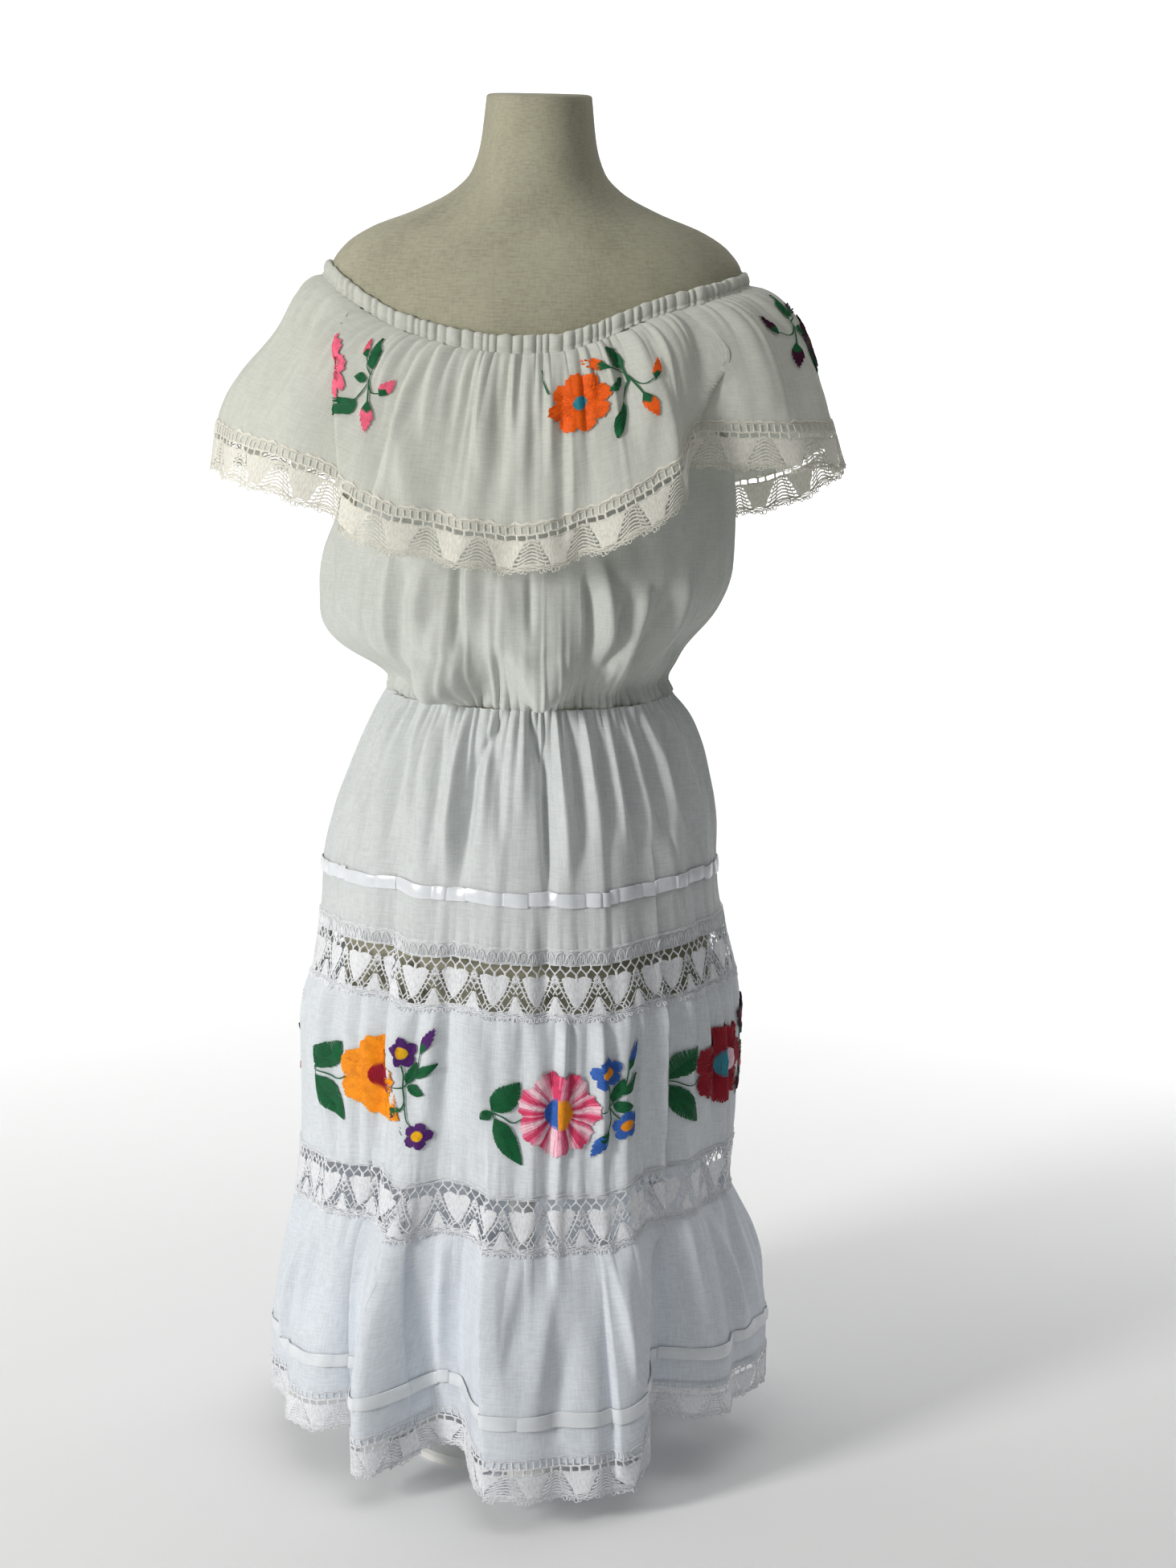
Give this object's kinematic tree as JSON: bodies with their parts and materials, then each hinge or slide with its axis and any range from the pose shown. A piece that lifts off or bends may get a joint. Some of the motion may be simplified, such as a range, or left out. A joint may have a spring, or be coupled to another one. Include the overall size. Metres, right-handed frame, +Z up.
{
  "type": "peasant dress on dress form",
  "caption": "Off-shoulder tiered peasant dress with a gathered flounce, lace insertions and ribbon bands, resting on a limbless dress form on a pole stand.",
  "frame": {"origin": "centre of the underside of the stand's round base, on the floor", "axes": "+Z up along the form's pole and the dress's height; -Y out of the back of the dress, the side in the picture; +X to the picture's right"},
  "size_m": [0.5762, 0.4694, 1.264],
  "materials": {
    "ivory_batiste": "matt plain weave, slightly sheer",
    "cream_lace": "matt cotton bobbin-style lace",
    "white_batiste": "matt plain weave, slightly sheer",
    "white_lace": "matt cotton bobbin-style lace",
    "white_satin": "satin",
    "form_linen": "matt linen cover",
    "pale_paint": "satin paint"
  },
  "bodies": {
    "root": {"band_back": "white_batiste", "band_front": "white_batiste", "bodice_back": "ivory_batiste", "bodice_front": "ivory_batiste", "flounce_back": "ivory_batiste", "flounce_front": "ivory_batiste", "flounce_lace_back": "cream_lace", "flounce_lace_front": "cream_lace", "form_base": "pale_paint", "form_pole": "pale_paint", "form_torso": "form_linen", "hem_flounce_back": "white_batiste", "hem_flounce_front": "white_batiste", "hem_lace_back": "white_lace", "hem_lace_front": "white_lace", "hem_ribbon_back": "white_satin", "hem_ribbon_front": "white_satin", "lace_lower_back": "white_lace", "lace_lower_front": "white_lace", "lace_upper_back": "white_lace", "lace_upper_front": "white_lace", "neck_casing": "ivory_batiste", "skirt_upper_back": "white_batiste", "skirt_upper_front": "white_batiste", "upper_ribbon_back": "white_satin", "upper_ribbon_front": "white_satin"}
  },
  "joints": []
}
